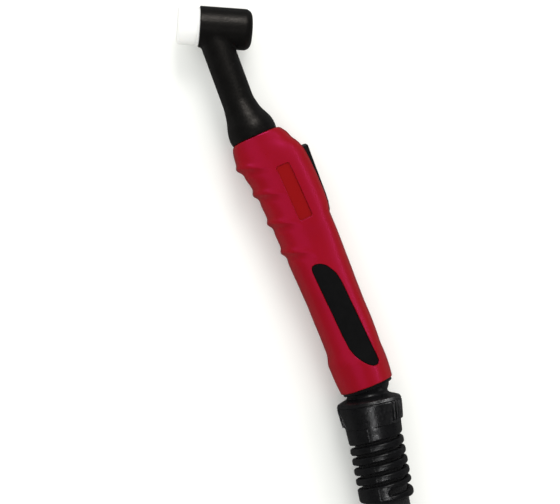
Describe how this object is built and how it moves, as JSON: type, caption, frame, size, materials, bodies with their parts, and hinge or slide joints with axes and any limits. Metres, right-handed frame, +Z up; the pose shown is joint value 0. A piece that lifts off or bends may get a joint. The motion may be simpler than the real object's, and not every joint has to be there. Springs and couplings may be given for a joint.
{
  "type": "tig torch",
  "caption": "Gas-cooled TIG welding torch with a moulded two-shell handle, press switch, angled neck and ball-jointed cable support.",
  "frame": {"origin": "on the electrode axis, in the plane of the head's front face where the cup gasket seats", "axes": "-X the way the nozzle points, -Y towards the cable, +Z up with the torch lying on its side; XY is the plane of symmetry"},
  "size_m": [0.139, 0.3009, 0.0338],
  "materials": {
    "brass": "machined",
    "copper": "drawn copper",
    "ptfe": "smooth, slightly waxy",
    "black_moulding": "fine-grained satin",
    "red_plastic": "semi-gloss moulded",
    "black_inlay": "matte soft grip",
    "trigger_black": "satin moulded",
    "steel": "zinc plated",
    "spring_steel": "drawn wire",
    "black_nylon": "satin, glass-filled",
    "hose_rubber": "smooth",
    "cover_rubber": "finely ribbed cover",
    "grey_plastic": "moulded",
    "lead_jacket": "smooth",
    "core_insulation": "extruded"
  },
  "bodies": {
    "handle": {"head_core": "brass", "cup_gasket": "ptfe", "neck_tube": "copper", "head_overmould": "black_moulding", "tube_adapter": "brass", "union_nut": "brass", "cable_nipple": "brass", "crimp_ferrule": "copper", "power_hose_front": "hose_rubber", "power_strands_front": "copper", "handle_shell_left": "red_plastic", "handle_shell_right": "red_plastic", "grip_inlay_left": "black_inlay", "grip_inlay_right": "black_inlay", "shell_screws": "steel", "switch_frame": "black_nylon", "trigger_pin": "steel", "microswitch_case": "grey_plastic", "microswitch_terminals": "brass", "switch_screws": "steel", "control_lead_front": "lead_jacket", "control_wires": "core_insulation"},
    "trigger": {"trigger_lever": "trigger_black", "return_spring": "spring_steel"},
    "switch_plunger": {"microswitch_plunger": "black_nylon"},
    "socket_ring": {"socket_ring": "black_nylon"},
    "knuckle_ball": {"knuckle_ball": "black_nylon"},
    "cable_support": {"collar_nut": "black_nylon", "bend_relief_sleeve": "black_nylon", "cable_cover": "cover_rubber", "cover_clamp": "steel", "power_hose_rear": "hose_rubber", "power_strands_rear": "copper", "control_lead_rear": "lead_jacket", "control_cores_rear": "core_insulation"}
  },
  "joints": [
    {"name": "trigger_press", "type": "hinge", "parent": "handle", "child": "trigger", "pos_m": [0.06741, -0.09015, 0], "axis": [0, 0, 1], "range_deg": [0, 3.2], "deforming": ["return_spring"]},
    {"name": "plunger_travel", "type": "slide", "parent": "handle", "child": "switch_plunger", "axis": [-0.8928, -0.4504, 0], "range_m": [0, 0.0011]},
    {"name": "knuckle_swivel", "type": "hinge", "parent": "handle", "child": "socket_ring", "pos_m": [0.09474, -0.17996, 0], "axis": [0.4051, -0.9143, 0], "range_deg": [-90, 90]},
    {"name": "knuckle_tilt", "type": "hinge", "parent": "socket_ring", "child": "knuckle_ball", "pos_m": [0.09474, -0.17996, 0], "axis": [0, 0, 1], "range_deg": [-4, 25]},
    {"name": "support_spin", "type": "hinge", "parent": "knuckle_ball", "child": "cable_support", "pos_m": [0.09474, -0.17996, 0], "axis": [0.2267, -0.974, 0], "range_deg": [-90, 90]}
  ],
  "couplings": [
    {"joint": "plunger_travel", "follows": "trigger_press", "m_per_rad": 0.019}
  ]
}
